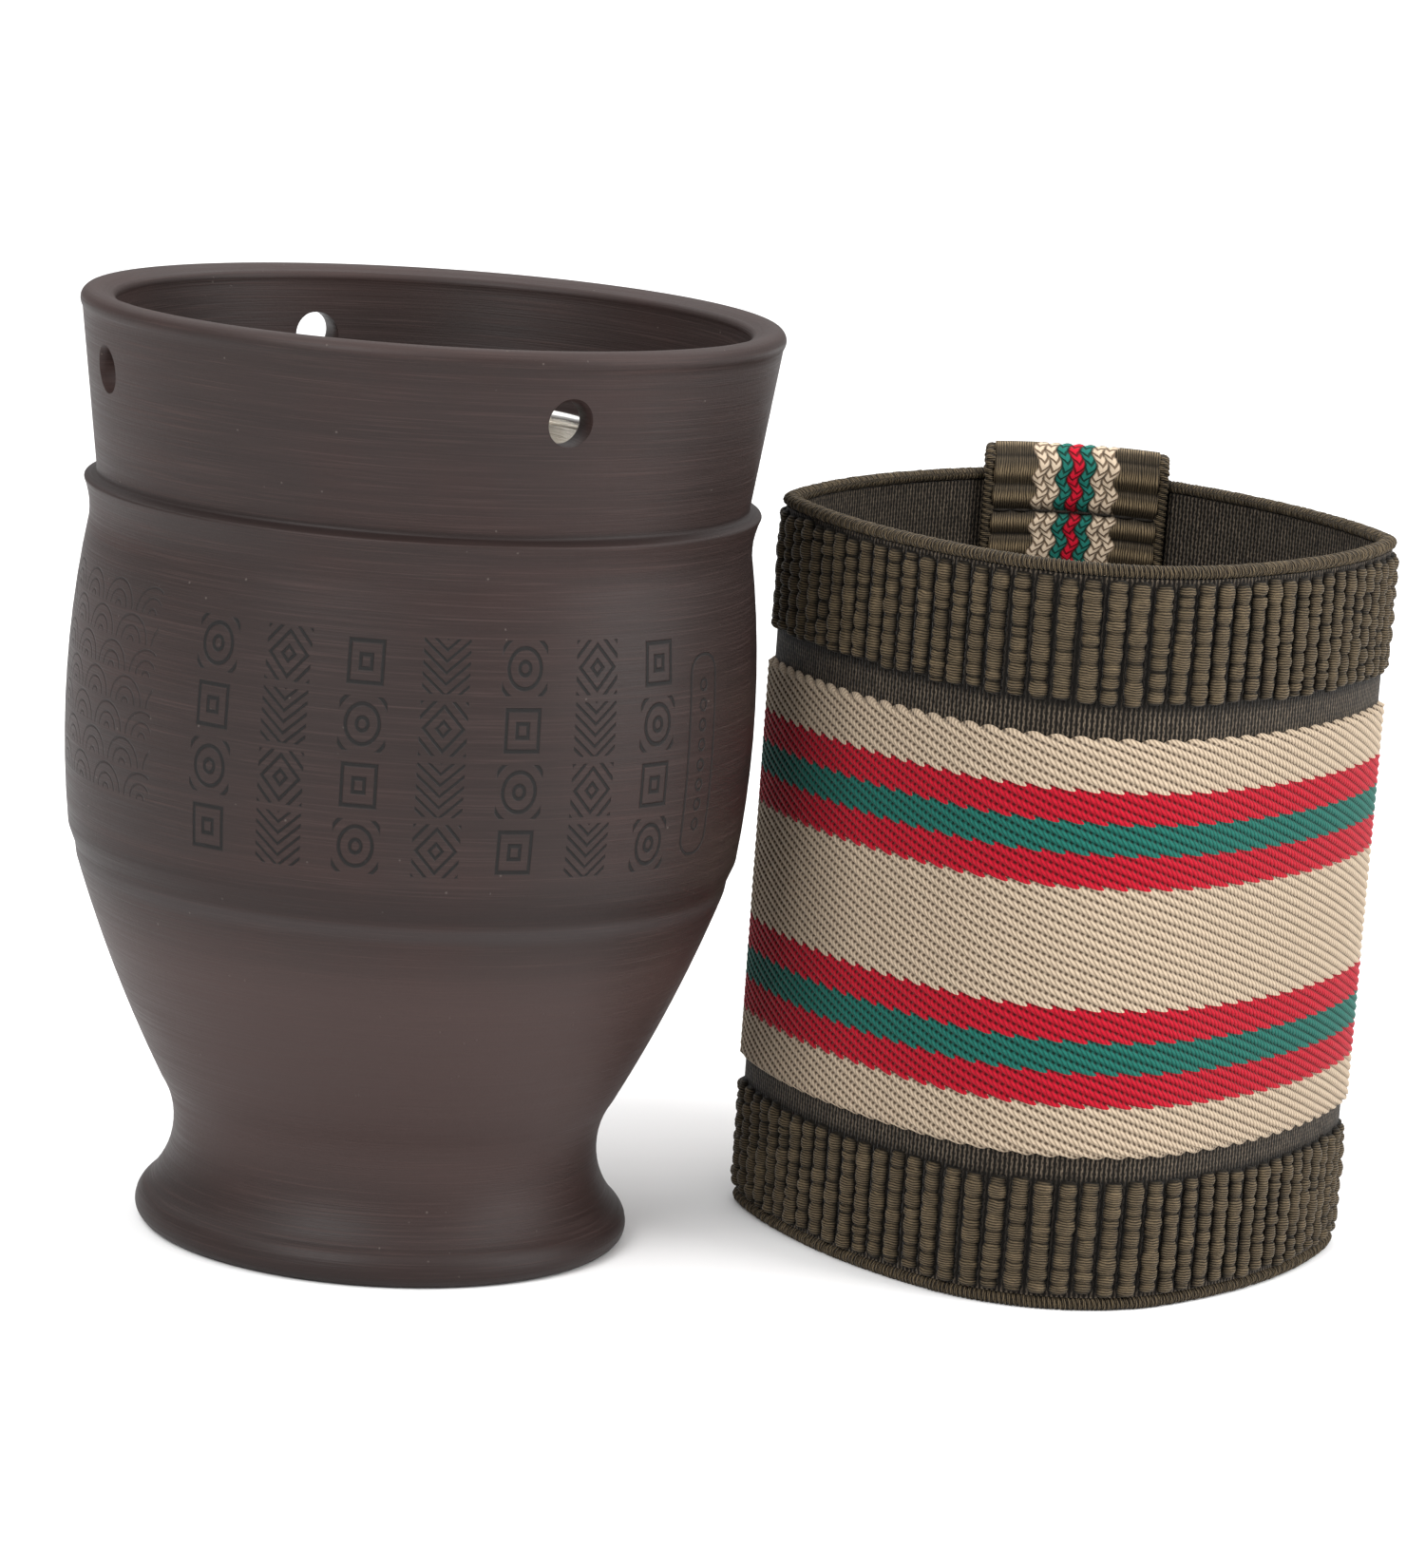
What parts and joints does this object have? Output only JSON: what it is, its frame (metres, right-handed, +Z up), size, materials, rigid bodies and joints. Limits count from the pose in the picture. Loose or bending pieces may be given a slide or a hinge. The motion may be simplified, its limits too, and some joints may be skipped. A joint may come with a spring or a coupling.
{
  "type": "moxibustion cup with sleeve",
  "caption": "Dark clay warming cup with a waisted foot and air holes round its lip, a lift-out steel burner stand inside, and a striped ribbed elastic sleeve beside it.",
  "frame": {"origin": "middle of the cup's foot, on the table", "axes": "+Z up the cup's axis, +X from the cup towards the sleeve, -Y towards the viewer"},
  "size_m": [0.1433, 0.0941, 0.1],
  "materials": {
    "fired_clay": "unglazed, burnished satin",
    "spring_steel": "brushed",
    "polished_steel": "polished",
    "screen_steel": "satin",
    "elastic_knit": "matte knit",
    "rib_yarn": "soft yarn",
    "striped_twill": "twill weave",
    "edge_yarn": "overlocked yarn",
    "tab_weave": "ribbed weave",
    "sewing_thread": "thread"
  },
  "bodies": {
    "cup": {"clay_cup": "fired_clay"},
    "burner_stand": {"burner_dish": "polished_steel", "ash_screen": "screen_steel", "spike_rivet": "polished_steel", "upper_leg_strip": "spring_steel", "lower_leg_strip": "spring_steel"},
    "sleeve": {"elastic_ground": "elastic_knit", "upper_rib_band": "rib_yarn", "lower_rib_band": "rib_yarn", "striped_webbing": "striped_twill", "top_edge_overlock": "edge_yarn", "bottom_edge_overlock": "edge_yarn", "seam_tab": "tab_weave", "left_tab_overlock": "edge_yarn", "right_tab_overlock": "edge_yarn", "tab_stitching": "sewing_thread"}
  },
  "joints": [
    {"name": "stand_lift", "type": "slide", "parent": "cup", "child": "burner_stand", "axis": [0, 0, 1], "range_m": [0, 0.1]},
    {"name": "sleeve_lift", "type": "slide", "parent": "cup", "child": "sleeve", "axis": [0, 0, 1], "range_m": [0, 0.11]}
  ]
}
